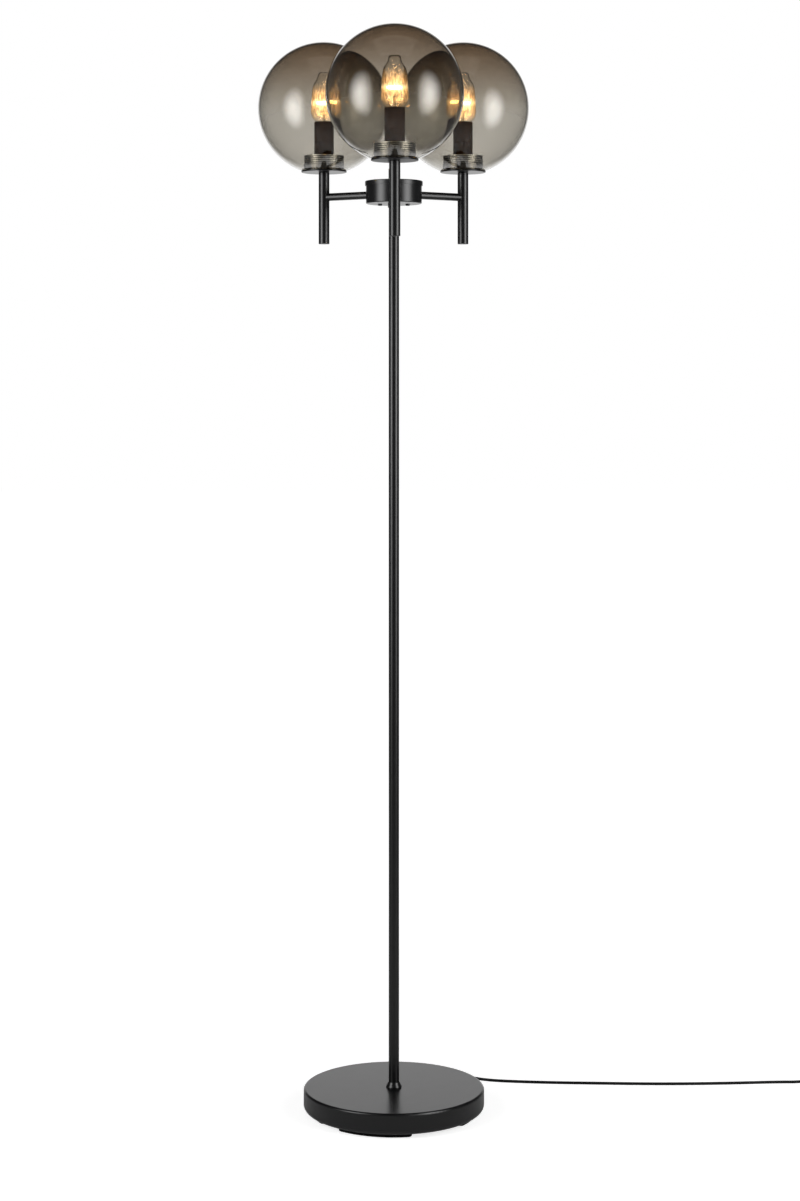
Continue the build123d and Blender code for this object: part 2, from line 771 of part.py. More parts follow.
# The plug points along -X: its outline runs from the lead's end to the face with the pins.
plug_half = [
    (0.0, 6.2),
    (7.0, 8.0),
    (16.0, 13.0),
    (25.0, plug_width / 2),
    (31.0, plug_width / 2),
    (plug_length, plug_width / 2 - 4.0),
]
plug_outline = plug_half + [(x, -y) for x, y in reversed(plug_half)]
plug_body = extrude(make_face(Polyline(*plug_outline, close=True)), plug_thick)
plug_body = fillet(plug_body.edges().filter_by(Axis.Z), 1.5)
plug_body = fillet(plug_body.edges().group_by(Axis.Z)[0] + plug_body.edges().group_by(Axis.Z)[-1], 1.4)
plug_back = plug_tip_x - plug_relief
plug_place = Pos(plug_back, coil_exit.Y, 0) * turn_to(180)
parts["plug_body"] = plug_place * plug_body
pins = []
for y in (-pin_spacing / 2, pin_spacing / 2):
    pin = Pos(plug_length, y, plug_z) * Rot(0, 90, 0) * rod(pin_r, 0, pin_length)
    pins.append(plug_place * fillet(pin.edges().group_by(Axis.X)[-1], 1.0))
parts["plug_pins"] = Compound(children=pins)
plug_boot = Pos(plug_back, coil_exit.Y, plug_z) * relief(plug_relief, 4.6, 2.9, 0.0)
parts["plug_relief"] = plug_boot

os.makedirs("parts", exist_ok=True)
for name, shape in parts.items():
    export_step(shape, "parts/" + name + ".step")
print(len(parts), "parts")
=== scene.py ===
import math
import bpy
import bmesh
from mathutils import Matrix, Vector


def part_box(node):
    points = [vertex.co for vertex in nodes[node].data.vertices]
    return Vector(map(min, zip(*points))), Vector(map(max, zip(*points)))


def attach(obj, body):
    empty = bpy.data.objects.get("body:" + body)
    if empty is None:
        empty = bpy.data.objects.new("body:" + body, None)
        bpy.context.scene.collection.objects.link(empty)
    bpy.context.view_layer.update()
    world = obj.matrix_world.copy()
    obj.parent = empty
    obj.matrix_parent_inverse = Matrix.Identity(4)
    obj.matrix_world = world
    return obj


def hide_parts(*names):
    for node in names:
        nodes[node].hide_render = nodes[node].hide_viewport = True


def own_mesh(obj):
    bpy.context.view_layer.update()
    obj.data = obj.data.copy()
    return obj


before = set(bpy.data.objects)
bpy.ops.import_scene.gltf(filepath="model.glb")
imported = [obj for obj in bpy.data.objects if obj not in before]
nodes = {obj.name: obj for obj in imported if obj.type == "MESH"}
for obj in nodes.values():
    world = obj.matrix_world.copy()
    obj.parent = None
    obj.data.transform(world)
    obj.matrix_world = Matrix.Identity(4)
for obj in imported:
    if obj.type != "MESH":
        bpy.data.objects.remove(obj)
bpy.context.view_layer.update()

sides = ("front", "right", "left")


# The camera, at the photograph's place.

view = {
    "distance": 3.1532,
    "height": 0.9644,
    "turn": 0.55,
    "focalPixels": 2349.5,
    "centrePixel": (393.9, 393.3),
    "photoSize": (800, 1201),
    "sensor": 36.0,
    "reach": 60,
}


def addCamera():
    data = bpy.data.cameras.new("camera")
    camera = bpy.data.objects.new("camera", data)
    bpy.context.scene.collection.objects.link(camera)
    wide, tall = view["photoSize"]
    data.sensor_width = view["sensor"]
    data.lens = view["focalPixels"] * view["sensor"] / tall
    data.shift_x = (wide / 2 - view["centrePixel"][0]) / tall
    data.shift_y = (view["centrePixel"][1] - tall / 2) / tall
    data.clip_end = view["reach"]
    turn = math.radians(view["turn"])
    across = -view["distance"] * math.sin(turn)
    ahead = -view["distance"] * math.cos(turn)
    camera.location = (across, ahead, view["height"])
    camera.rotation_euler = (math.radians(90), 0, -turn)
    bpy.context.scene.camera = camera


addCamera()


def toLinear(hexColour):
    values = []
    for i in (1, 3, 5):
        v = int(hexColour[i:i + 2], 16) / 255
        values.append(v / 12.92 if v <= 0.04045 else ((v + 0.055) / 1.055) ** 2.4)
    return (*values, 1.0)


def newMaterial(name):
    material = bpy.data.materials.new(name)
    material.use_nodes = True
    shader = material.node_tree.nodes["Principled BSDF"]
    return material, shader


def addNode(owner, kind, inputs=None, **settings):
    # One node in a material or the world, with its settings, and its inputs set or linked.
    node = owner.node_tree.nodes.new(kind)
    for key, value in settings.items():
        setattr(node, key, value)
    for key, value in (inputs or {}).items():
        if isinstance(value, bpy.types.NodeSocket):
            owner.node_tree.links.new(value, node.inputs[key])
        else:
            node.inputs[key].default_value = value
    return node


def joinTo(owner, output, target):
    owner.node_tree.links.new(output, target)


def fromTo(source, low, high, start=0.0, end=1.0):
    # Inputs that carry one span of values over to another.
    return {"Value": source, "From Min": low, "From Max": high, "To Min": start, "To Max": end}


def twoTones(source, dark, light):
    return {"Factor": source, "A": toLinear(dark), "B": toLinear(light)}


def grainPattern(material, size, detail=3.0, stretch=(1, 1, 1)):
    # Noise whose grains are about size metres across, in the object's own space.
    place = addNode(material, "ShaderNodeTexCoord")
    mapping = addNode(
        material,
        "ShaderNodeMapping",
        {"Vector": place.outputs["Object"], "Scale": stretch},
    )
    noise = addNode(
        material,
        "ShaderNodeTexNoise",
        {"Vector": mapping.outputs["Vector"], "Scale": 1 / size, "Detail": detail},
    )
    return noise.outputs["Fac"]


def heightInObject(material):
    # A point's height in metres, in the object's own space.
    place = addNode(material, "ShaderNodeTexCoord")
    split = addNode(material, "ShaderNodeSeparateXYZ", {"Vector": place.outputs["Object"]})
    return split.outputs["Z"]


def newPiece(name, data, material):
    data.materials.append(material)
    piece = bpy.data.objects.new(name, data)
    bpy.context.scene.collection.objects.link(piece)
    return piece


noiseSpan = (0.3, 0.7)  # nearly all of a noise's values lie between these


def blackPaint():
    # Satin powder coat, baked on: deep black that keeps soft, blurred softbox streaks.
    coat = {
        "dark": "#0b0b0c",
        "light": "#0f0f10",
        "cloud": 0.02,
        "roughness": (0.275, 0.285),
        "gloss": 0.52,
    }
    material, shader = newMaterial("satinBlackPowderCoat")
    cloud = grainPattern(material, coat["cloud"])
    tones = twoTones(cloud, coat["dark"], coat["light"])
    tone = addNode(material, "ShaderNodeMix", tones, data_type="RGBA")
    joinTo(material, tone.outputs["Result"], shader.inputs["Base Color"])
    rough = addNode(material, "ShaderNodeMapRange", fromTo(cloud, *noiseSpan, *coat["roughness"]))
    joinTo(material, rough.outputs["Result"], shader.inputs["Roughness"])
    shader.inputs["Specular IOR Level"].default_value = coat["gloss"]
    return material


surface = {"mottle": 12, "fineDetail": 4.0, "unevenness": (0.85, 1.15), "relief": 0.5}


def plainSurface(name, dark, light, roughness, grain, metallic=0.0, gloss=0.5, bumpHeight=0.00001):
    # A moulded, cast or plated surface: uneven gloss and a fine grain, with a mottled tone that is
    # drawn coarser than the real one, so that it shows.
    material, shader = newMaterial(name)
    cloud = grainPattern(material, grain * surface["mottle"])
    fine = grainPattern(material, grain, surface["fineDetail"])
    tone = addNode(material, "ShaderNodeMix", twoTones(cloud, dark, light), data_type="RGBA")
    joinTo(material, tone.outputs["Result"], shader.inputs["Base Color"])
    smoother, rougher = (roughness * share for share in surface["unevenness"])
    rough = addNode(material, "ShaderNodeMapRange", fromTo(fine, *noiseSpan, smoother, rougher))
    joinTo(material, rough.outputs["Result"], shader.inputs["Roughness"])
    shader.inputs["Metallic"].default_value = metallic
    shader.inputs["Specular IOR Level"].default_value = gloss
    bump = addNode(
        material,
        "ShaderNodeBump",
        {"Height": fine, "Distance": bumpHeight, "Strength": surface["relief"]},
    )
    joinTo(material, bump.outputs["Normal"], shader.inputs["Normal"])
    return material


def smokedGlass(low, high):
    # Blown smoke-grey glass. The tint deepens towards the crown: painted shade, for the dark
    # ceiling that the crown mirrors. It deepens too at the rim, where the eye looks along the wall.
    glass = {
        "shadedCrown": "#9a8975",
        "mouth": "#d4d1ca",
        "tintStart": 0.46,
        "cloud": 0.05,
        "waver": 0.05,
        "rim": "#2c2823",
        "rimSpan": (0.78, 0.98),
        "ior": 1.5,
    }
    material, shader = newMaterial("smokedGlass")
    start = low + (high - low) * glass["tintStart"]
    # painted shade: from tintStart upward the tint darkens towards the crown
    rise = addNode(material, "ShaderNodeMapRange", fromTo(heightInObject(material), start, high))
    waver = addNode(
        material,
        "ShaderNodeMath",
        {0: grainPattern(material, glass["cloud"]), 1: glass["waver"], 2: rise.outputs["Result"]},
        operation="MULTIPLY_ADD",
    )
    tones = twoTones(waver.outputs["Value"], glass["mouth"], glass["shadedCrown"])
    wall = addNode(material, "ShaderNodeMix", tones, data_type="RGBA")
    slant = addNode(material, "ShaderNodeLayerWeight")
    edge = addNode(
        material,
        "ShaderNodeMapRange",
        fromTo(slant.outputs["Facing"], *glass["rimSpan"]),
    )
    tint = addNode(
        material,
        "ShaderNodeMix",
        {
            "Factor": edge.outputs["Result"],
            "A": wall.outputs["Result"],
            "B": toLinear(glass["rim"]),
        },
        data_type="RGBA",
    )
    joinTo(material, tint.outputs["Result"], shader.inputs["Base Color"])
    shader.inputs["Transmission Weight"].default_value = 1.0
    shader.inputs["Roughness"].default_value = 0.0
    shader.inputs["IOR"].default_value = glass["ior"]
    return material


def litLampGlass(hotHeight):
    # Thin rippled lamp glass round a hot filament, carrying painted light: a painted glow,
    # brightest as a halo at the wire's height, golden streaks below and above it, a painted amber
    # tint near the wire, and clear edges where the eye looks along the wall.
    glass = {
        "clear": "#fffdf8",
        "litAmber": "#ffe3ba",
        "glow": ("#ffcb8c", "#ffebc0"),
        "haloReach": 0.008,
        "haloFall": 2.0,
        "halo": 0.9,
        "spreadReach": 0.026,
        "spread": 0.95,
        "streak": 0.0024,
        "streakDetail": 2.0,
        "streakStretch": (1, 1, 0.3),
        "streakSpan": (0.45, 0.7),
        "streakLight": (0.25, 2.2),
        "edgeFade": 0.5,
        "ripple": 0.0001,
        "rippleStrength": 0.2,
        "roughness": 0.01,
        "ior": 1.45,
    }
    material, shader = newMaterial("litLampGlass")
    off = addNode(
        material,
        "ShaderNodeMath",
        {0: heightInObject(material), 1: hotHeight},
        operation="SUBTRACT",
    )
    away = addNode(material, "ShaderNodeMath", {0: off.outputs["Value"]}, operation="ABSOLUTE")
    distance = away.outputs["Value"]
    near = addNode(
        material,
        "ShaderNodeMapRange",
        fromTo(distance, 0.0, glass["spreadReach"], 1.0, 0.0),
    ).outputs["Result"]
    close = addNode(
        material,
        "ShaderNodeMapRange",
        fromTo(distance, 0.0, glass["haloReach"], 1.0, 0.0),
    ).outputs["Result"]
    # painted warm light: an amber tint on the glass near the wire
    tones = twoTones(near, glass["clear"], glass["litAmber"])
    tone = addNode(material, "ShaderNodeMix", tones, data_type="RGBA")
    joinTo(material, tone.outputs["Result"], shader.inputs["Base Color"])
    shader.inputs["Transmission Weight"].default_value = 1.0
    shader.inputs["Roughness"].default_value = glass["roughness"]
    shader.inputs["IOR"].default_value = glass["ior"]
    # painted glow: the glass itself emits a halo and streaks standing in for the filament's light
    glow = addNode(material, "ShaderNodeMix", twoTones(close, *glass["glow"]), data_type="RGBA")
    joinTo(material, glow.outputs["Result"], shader.inputs["Emission Color"])
    streaks = grainPattern(material, glass["streak"], glass["streakDetail"], glass["streakStretch"])
    sparkle = addNode(
        material,
        "ShaderNodeMapRange",
        fromTo(streaks, *glass["streakSpan"], *glass["streakLight"]),
    )
    halo = addNode(material, "ShaderNodeMath", {0: close, 1: glass["haloFall"]}, operation="POWER")
    haloLight = addNode(
        material,
        "ShaderNodeMath",
        {0: halo.outputs["Value"], 1: glass["halo"]},
        operation="MULTIPLY",
    )
    spread = addNode(
        material,
        "ShaderNodeMath",
        {0: near, 1: glass["spread"]},
        operation="MULTIPLY",
    )
    total = addNode(
        material,
        "ShaderNodeMath",
        {0: spread.outputs["Value"], 1: sparkle.outputs["Result"], 2: haloLight.outputs["Value"]},
        operation="MULTIPLY_ADD",
    )
    slant = addNode(material, "ShaderNodeLayerWeight")
    facing = addNode(
        material,
        "ShaderNodeMapRange",
        fromTo(slant.outputs["Facing"], 0.0, glass["edgeFade"], 1.0, 0.0),
    )
    light = addNode(
        material,
        "ShaderNodeMath",
        {0: total.outputs["Value"], 1: facing.outputs["Result"]},
        operation="MULTIPLY",
    )
    joinTo(material, light.outputs["Value"], shader.inputs["Emission Strength"])
    bump = addNode(
        material,
        "ShaderNodeBump",
        {"Height": streaks, "Distance": glass["ripple"], "Strength": glass["rippleStrength"]},
    )
    joinTo(material, bump.outputs["Normal"], shader.inputs["Normal"])
    return material


def lampMetal(capTop):
    # Nickel-plated cap below, clear glass stem above it, in one mount.
    mount = {
        "dark": "#a9a49a",
        "light": "#c8c3b8",
        "roughness": 0.28,
        "grain": 0.0005,
        "change": 0.0001,
    }
    material = plainSurface(
        "nickelCapAndGlassStem",
        mount["dark"],
        mount["light"],
        mount["roughness"],
        mount["grain"],
    )
    shader = material.node_tree.nodes["Principled BSDF"]
    height = heightInObject(material)
    span = (capTop - mount["change"], capTop + mount["change"])
    for socket, ends in (("Metallic", (1.0, 0.0)), ("Transmission Weight", (0.0, 1.0))):
        share = addNode(material, "ShaderNodeMapRange", fromTo(height, *span, *ends))
        joinTo(material, share.outputs["Result"], shader.inputs[socket])
    return material


def ribbedCollar(top):
    # Satin-turned aluminium with grooves round its upper half. Painted light: the ribbed upper half
    # is lighter, for the highlights its ribs catch, the plain lower half darker, for the dark front
    # it mirrors, and painted shade darkens the groove bottoms.
    collar = {
        "grooveShade": "#3a3732",
        "litRibbedMetal": "#e4e1d8",
        "shadedPlainMetal": "#85817a",
        "firstGroove": 0.0100,
        "pitch": 0.0026,
        "ribbedDown": 0.0112,
        "change": 0.0002,
        "grooveSpan": (0.2, 0.8),
        "grain": 0.0005,
        "roughness": 0.36,
        "unevenness": (0.9, 1.1),
    }
    material, shader = newMaterial("satinTurnedAluminium")
    height = heightInObject(material)
    above = addNode(
        material,
        "ShaderNodeMath",
        {0: height, 1: top - collar["firstGroove"]},
        operation="SUBTRACT",
    )
    turns = addNode(
        material,
        "ShaderNodeMath",
        {0: above.outputs["Value"], 1: 2 * math.pi / collar["pitch"]},
        operation="MULTIPLY",
    )
    wave = addNode(material, "ShaderNodeMath", {0: turns.outputs["Value"]}, operation="COSINE")
    start = top - collar["ribbedDown"]
    upper = addNode(
        material,
        "ShaderNodeMapRange",
        fromTo(height, start, start + collar["change"]),
    ).outputs["Result"]
    line = addNode(
        material,
        "ShaderNodeMapRange",
        fromTo(wave.outputs["Value"], *collar["grooveSpan"]),
    )
    # painted shade along the groove bottoms, in the ribbed half only
    grooveShade = addNode(
        material,
        "ShaderNodeMath",
        {0: line.outputs["Result"], 1: upper},
        operation="MULTIPLY",
    )
    # painted light: lighter ribbed upper half, darker plain lower half, on one metal
    tones = twoTones(upper, collar["shadedPlainMetal"], collar["litRibbedMetal"])
    metal = addNode(material, "ShaderNodeMix", tones, data_type="RGBA")
    tone = addNode(
        material,
        "ShaderNodeMix",
        {
            "Factor": grooveShade.outputs["Value"],
            "A": metal.outputs["Result"],
            "B": toLinear(collar["grooveShade"]),
        },
        data_type="RGBA",
    )
    joinTo(material, tone.outputs["Result"], shader.inputs["Base Color"])
    grain = grainPattern(material, collar["grain"])
    smoother, rougher = (collar["roughness"] * share for share in collar["unevenness"])
    rough = addNode(material, "ShaderNodeMapRange", fromTo(grain, *noiseSpan, smoother, rougher))
    joinTo(material, rough.outputs["Result"], shader.inputs["Roughness"])
    shader.inputs["Metallic"].default_value = 1.0
    return material


def hotFilament():
    # Coiled tungsten at white heat: yellow-white, with slightly cooler patches.
    hot = {
        "cold": "#3a3632",
        "cool": "#ffb45c",
        "hot": "#ffe7b0",
        "strength": 40.0,
        "patch": 0.0015,
    }
    material, shader = newMaterial("hotTungsten")
    tones = twoTones(grainPattern(material, hot["patch"]), hot["cool"], hot["hot"])
    tone = addNode(material, "ShaderNodeMix", tones, data_type="RGBA")
    joinTo(material, tone.outputs["Result"], shader.inputs["Emission Color"])
    shader.inputs["Emission Strength"].default_value = hot["strength"]
    shader.inputs["Base Color"].default_value = toLinear(hot["cold"])
    return material


def dress(material, *names):
    for name in names:
        for slot in nodes[name].material_slots:
            slot.material = material


# Each plain surface has a dark and a light tone, a roughness and its grain's size in metres.
paint = blackPaint()
# Bright zinc: pale, with a cloudy shine.
steel = plainSurface("zincPlatedSteel", "#8d8e90", "#b9babb", 0.32, 0.0004, metallic=1.0)
# Chemically blackened: a dull gunmetal gleam.
darkSteel = plainSurface("blackenedSteel", "#2b2b2c", "#3c3c3d", 0.4, 0.0004, metallic=1.0)
# Sand cast and left raw: coarse, dark and almost without shine.
iron = plainSurface("castIron", "#262525", "#393736", 0.75, 0.0015, metallic=0.6, bumpHeight=0.0002)
# Moulded rubber: dead matt black.
rubber = plainSurface("padRubber", "#0d0d0d", "#151515", 0.75, 0.0008, gloss=0.2)
# Nickel plate on steel: a warm grey shine.
ringMetal = plainSurface("nickelPlatedRing", "#8f8b83", "#a8a49c", 0.3, 0.0005, metallic=1.0)
collarMetal = ribbedCollar(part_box("globe_collar_front")[1].z)
# Moulded phenolic, matt black behind smoked glass; its brown tones are painted warm lamplight.
holderPlastic = plainSurface("mattBlackPhenolic", "#3a2411", "#462d16", 0.7, 0.0006, gloss=0.02)
# Moulded plastic with a fine spark grain: satin black.
fitting = plainSurface("mouldedBlackPlastic", "#0e0e0e", "#161616", 0.42, 0.0004, gloss=0.35)
# The same plastic from a polished mould: a sharper gleam.
buttonPlastic = plainSurface("smoothBlackPlastic", "#0b0b0b", "#121212", 0.25, 0.0004, gloss=0.4)
# Extruded lead jacket: black with a soft line of light along it.
jacket = plainSurface("blackLeadJacket", "#0a0a0a", "#111111", 0.42, 0.0005, gloss=0.25)
# Extruded wire jacket: plain satin brown.
wireJacket = plainSurface("brownWireJacket", "#4a2a18", "#5c3622", 0.4, 0.0005)
# Uncoloured polyamide: milky white.
terminal = plainSurface("naturalTerminalBlock", "#c9c8c2", "#dedcd6", 0.5, 0.0006)
# Bright nickel on turned brass pins.
pinMetal = plainSurface("nickelPlugPins", "#b8b4aa", "#d2cec6", 0.2, 0.0005, metallic=1.0)

dress(
    paint,
    "base_cover", "pole_lower", "pole_middle", "pole_upper", "pole_root_collar", "pole_neck_collar",
    "hub_body", "hub_lid", "lid_finial", "arms", "risers", "holder_discs",
)
dress(
    steel,
    "base_plate", "base_washer", "hub_spider", "pole_bushes", "pole_rods", "rod_nuts", "arm_nuts",
    "hub_rod", "holder_nipples",
)
dress(darkSteel, "base_plate_screws", "hub_screws", "switch_screws", "switch_spring")
dress(iron, "base_weight")
dress(rubber, "foot_pads")
dress(ringMetal, "globe_rings")
dress(holderPlastic, "socket_skirts", "socket_sleeves", "socket_inserts")
dress(
    fitting,
    "cord_gland", "base_relief", "switch_lower", "switch_upper", "switch_reliefs", "plug_body",
    "plug_relief",
)
dress(buttonPlastic, "switch_button")
dress(jacket, "mains_lead", "lead_to_switch", "lead_to_coil", "lead_coil", "lead_to_plug")
dress(wireJacket, "lamp_wires")
dress(terminal, "terminal_block")
dress(pinMetal, "plug_pins")

filament = {
    "ringRadius": 0.0095,
    "gap": 50,
    "height": 0.036,
    "coilRadius": 0.0013,
    "wireRadius": 0.00028,
    "turns": 64,
    "pointsPerTurn": 8,
    "roundness": 1,
}

glassLow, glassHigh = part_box("globe_front")
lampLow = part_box("bulb_glass_front")[0]
smoke = smokedGlass(glassLow.z, glassHigh.z)
lampGlass = litLampGlass(lampLow.z + filament["height"])
lampMount = lampMetal(lampLow.z)
glow = hotFilament()
for side in sides:
    dress(collarMetal, "globe_collar_" + side)
    dress(lampMount, "bulb_base_" + side)
    dress(lampGlass, "bulb_glass_" + side)
print("materials done")


globe = {
    "wall": 0.0022,
    "mouth": 0.0276,
    "steps": 64,
    "segments": 128,
    "mouthFlare": 0.0003,
    "lipInset": 0.0006,
    "lipDrop": 0.0004,
}


def turnedPiece(name, outline, axis, material, segments):
    # A closed outline of (radius, height) turned round an upright axis, with smooth sides.
    mesh = bpy.data.meshes.new(name)
    work = bmesh.new()
    rings = []
    for radius, height in outline:
        if radius < 1e-6:  # on the axis
            rings.append([work.verts.new((*axis, height))])
            continue
        ring = []
        for i in range(segments):
            a = 2 * math.pi * i / segments
            place = (axis[0] + radius * math.cos(a), axis[1] + radius * math.sin(a), height)
            ring.append(work.verts.new(place))
        rings.append(ring)
    for lower, upper in zip(rings, rings[1:] + rings[:1]):
        if len(lower) == 1 and len(upper) == 1:
            continue
        for i in range(segments):
            j = (i + 1) % segments
            if len(lower) == 1:
                work.faces.new((lower[0], upper[j], upper[i]))
            elif len(upper) == 1:
                work.faces.new((lower[i], lower[j], upper[0]))
            else:
                work.faces.new((lower[i], lower[j], upper[j], upper[i]))
    bmesh.ops.recalc_face_normals(work, faces=work.faces)
    work.to_mesh(mesh)
    work.free()
    mesh.shade_smooth()
    return newPiece(name, mesh, material)


def addGlobe(side, glass):
    # A blown shell with a fire-polished mouth.
    low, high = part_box("globe_" + side)
    radius = (high.x - low.x) / 2
    centre = (low + high) / 2
    z = high.z - radius
    outline = []
    outerEnd = math.asin(globe["mouth"] / radius)
    innerRadius = radius - globe["wall"]
    innerEnd = math.asin((globe["mouth"] + globe["mouthFlare"]) / innerRadius)
    for i in range(globe["steps"] + 1):
        a = (math.pi - outerEnd) * i / globe["steps"]
        outline.append((radius * math.sin(a), z + radius * math.cos(a)))
    lip = z - (radius + innerRadius) / 2 * math.cos(outerEnd)
    outline.append((globe["mouth"] - globe["lipInset"], lip - globe["lipDrop"]))
    for i in range(globe["steps"] + 1):
        a = (math.pi - innerEnd) * (1 - i / globe["steps"])
        outline.append((innerRadius * math.sin(a), z + innerRadius * math.cos(a)))
    axis = (centre.x, centre.y)
    piece = turnedPiece("smokedGlobe_" + side, outline, axis, glass, globe["segments"])
    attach(piece, "globe_body_" + side)
    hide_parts("globe_" + side)


def addFilament(side, material):
    # Fine tungsten wire wound in a coil and bent into an open ring round the stem.
    low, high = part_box("bulb_glass_" + side)
    centre = (low + high) / 2
    data = bpy.data.curves.new("filament_" + side, "CURVE")
    data.dimensions = "3D"
    data.bevel_depth = filament["wireRadius"]
    data.bevel_resolution = filament["roundness"]
    spline = data.splines.new("POLY")
    count = filament["turns"] * filament["pointsPerTurn"]
    spline.points.add(count)
    start = math.radians(filament["gap"] / 2)
    sweep = math.radians(360 - filament["gap"])
    for i, point in enumerate(spline.points):
        along = start + sweep * i / count
        wind = 2 * math.pi * i / filament["pointsPerTurn"]
        r = filament["ringRadius"] + filament["coilRadius"] * math.cos(wind)
        z = low.z + filament["height"] + filament["coilRadius"] * math.sin(wind)
        point.co = (centre.x + r * math.cos(along), centre.y + r * math.sin(along), z, 1)
    piece = newPiece("filament_" + side, data, material)
    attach(piece, "bulb_body_" + side)


for side in sides:
    addGlobe(side, smoke)
    addFilament(side, glow)
print("glass and filaments done")


spring = {"wireRadius": 0.0006, "turns": 5, "stepsPerTurn": 24, "wireSides": 10, "travel": 0.003}


def addSwitchSpring(material):
    # The coil spring under the foot button, built at one fixed length; the real one shortens as the
    # button goes down.
    low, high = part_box("switch_spring")
    centre = (low + high) / 2
    wire, sidesRound = spring["wireRadius"], spring["wireSides"]
    radius = (high.x - low.x) / 2 - wire
    height = high.z - low.z - 2 * wire
    steps = spring["turns"] * spring["stepsPerTurn"]
    points = []
    for i in range(steps + 1):
        a = 2 * math.pi * i / spring["stepsPerTurn"]
        for k in range(sidesRound):
            b = 2 * math.pi * k / sidesRound
            r = radius + wire * math.cos(b)
            z = low.z + wire + height * i / steps + wire * math.sin(b)
            points.append((centre.x + r * math.cos(a), centre.y + r * math.sin(a), z))
    last = steps * sidesRound
    faces = [tuple(range(sidesRound)), tuple(range(last, last + sidesRound))]
    for i in range(steps):
        for k in range(sidesRound):
            here, beside = i * sidesRound + k, i * sidesRound + (k + 1) % sidesRound
            faces.append((here, beside, beside + sidesRound, here + sidesRound))
    mesh = bpy.data.meshes.new("switchSpring")
    mesh.from_pydata(points, [], faces)
    work = bmesh.new()
    work.from_mesh(mesh)
    bmesh.ops.recalc_face_normals(work, faces=work.faces)
    work.to_mesh(mesh)
    work.free()
    mesh.shade_smooth()
    piece = newPiece("switchSpring", mesh, material)
    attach(piece, "lamp")
    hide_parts("switch_spring")
    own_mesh(piece)


addSwitchSpring(darkSteel)
print("switch spring done")


# The lead follows the route of part.py, in metres.
lead = {
    "diameter": 0.004,
    "switchLength": 0.618,
    "plugLength": 1.176,
    "exitAngle": 168.5,
    "exitHeight": 0.0165,
    "exitReach": (0.1485, 0.1705),
    "roundness": 4,
    "stepsPerPoint": 8,
}
exitTurn = math.radians(lead["exitAngle"])
exitWay = (math.sin(exitTurn), -math.cos(exitTurn))
switchRoute = [
    *((exitWay[0] * reach, exitWay[1] * reach, lead["exitHeight"]) for reach in lead["exitReach"]),
    (0.0540, 0.1805, 0.008),
    (0.0780, 0.1760, 0.002),
    (0.1030, 0.1560, 0.002),
    (0.1310, 0.1375, 0.002),
    (0.1800, 0.1295, 0.002),
    (0.2320, 0.1246, 0.002),
    (0.2840, 0.1219, 0.002),
    (0.3360, 0.1188, 0.002),
    (0.3880, 0.1176, 0.002),
    (0.4400, 0.1188, 0.002),
    (0.4900, 0.1216, 0.002),
    (0.5360, 0.1253, 0.002),
    (0.5720, 0.1248, 0.002),
    (0.5940, 0.1240, 0.0075),
    (0.6120, 0.1240, 0.0075),
]
coil = {
    "x": 0.806,
    "topY": 0.124,
    "meanRadius": 0.0224,
    "pitch": 0.0054,
    "rise": 0.0048,
    "layers": 4,
    "halves": 3,
    "stepsPerHalf": 8,
}
# Places before and after the coil as x and height, and the straight runs at its two ends.
plugRoute = {
    "fromSwitch": ((0.748, 0.0075), (0.765, 0.0075), (0.785, 0.002)),
    "beforeCoil": 0.004,
    "afterCoil": (0.004, 0.020),
    "toPlug": ((0.752, 0.00685), (0.734, 0.00685)),
}


def coilRoute():
    # Half turns that shrink and grow by half a pitch, with a climb where the spiral reverses.
    outer = coil["meanRadius"] + coil["halves"] * coil["pitch"] / 4
    y = coil["topY"] - outer
    points = []
    side, r, z, step = 1, outer, lead["diameter"] / 2, -coil["pitch"] / 2

    def halfTurn(start, end, rise):
        for i in range(coil["stepsPerHalf"]):
            t = (i + 0.5) / coil["stepsPerHalf"]
            across = side * (start + (end - start) * t)
            a = math.pi * t
            place = (coil["x"] + across * math.sin(a), y + across * math.cos(a), z + rise * t)
            points.append(place)

    for layer in range(coil["layers"]):
        for half in range(coil["halves"]):
            halfTurn(r, r + step, 0)
            r += step
            side = -side
        if layer < coil["layers"] - 1:
            halfTurn(r, r, coil["rise"])
            z += coil["rise"]
            side = -side
            step = -step
    return points, (coil["x"], y + side * r, z)


def leadCurve(name, route, material):
    data = bpy.data.curves.new(name, "CURVE")
    data.dimensions = "3D"
    data.bevel_depth = lead["diameter"] / 2
    data.bevel_resolution = lead["roundness"]
    data.resolution_u = lead["stepsPerPoint"]
    spline = data.splines.new("NURBS")
    spline.points.add(len(route) - 1)
    for point, place in zip(spline.points, route):
        point.co = (*place, 1)
    spline.order_u = 3
    spline.use_endpoint_u = True
    data.use_fill_caps = True
    piece = newPiece(name, data, material)
    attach(piece, "lamp")
    return piece


def addLeads():
    toSwitch = leadCurve("leadToSwitch", switchRoute, jacket)
    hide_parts("lead_to_switch")
    turns, coilEnd = coilRoute()
    endX, endY, endZ = coilEnd
    route = [(x, coil["topY"], z) for x, z in plugRoute["fromSwitch"]]
    route.append((coil["x"] - plugRoute["beforeCoil"], coil["topY"], lead["diameter"] / 2))
    route += turns
    route += [(endX - run, endY, endZ) for run in plugRoute["afterCoil"]]
    route += [(x, endY, z) for x, z in plugRoute["toPlug"]]
    toPlug = leadCurve("leadToPlug", route, jacket)
    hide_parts("lead_to_coil", "lead_coil", "lead_to_plug")


addLeads()
print("leads done")


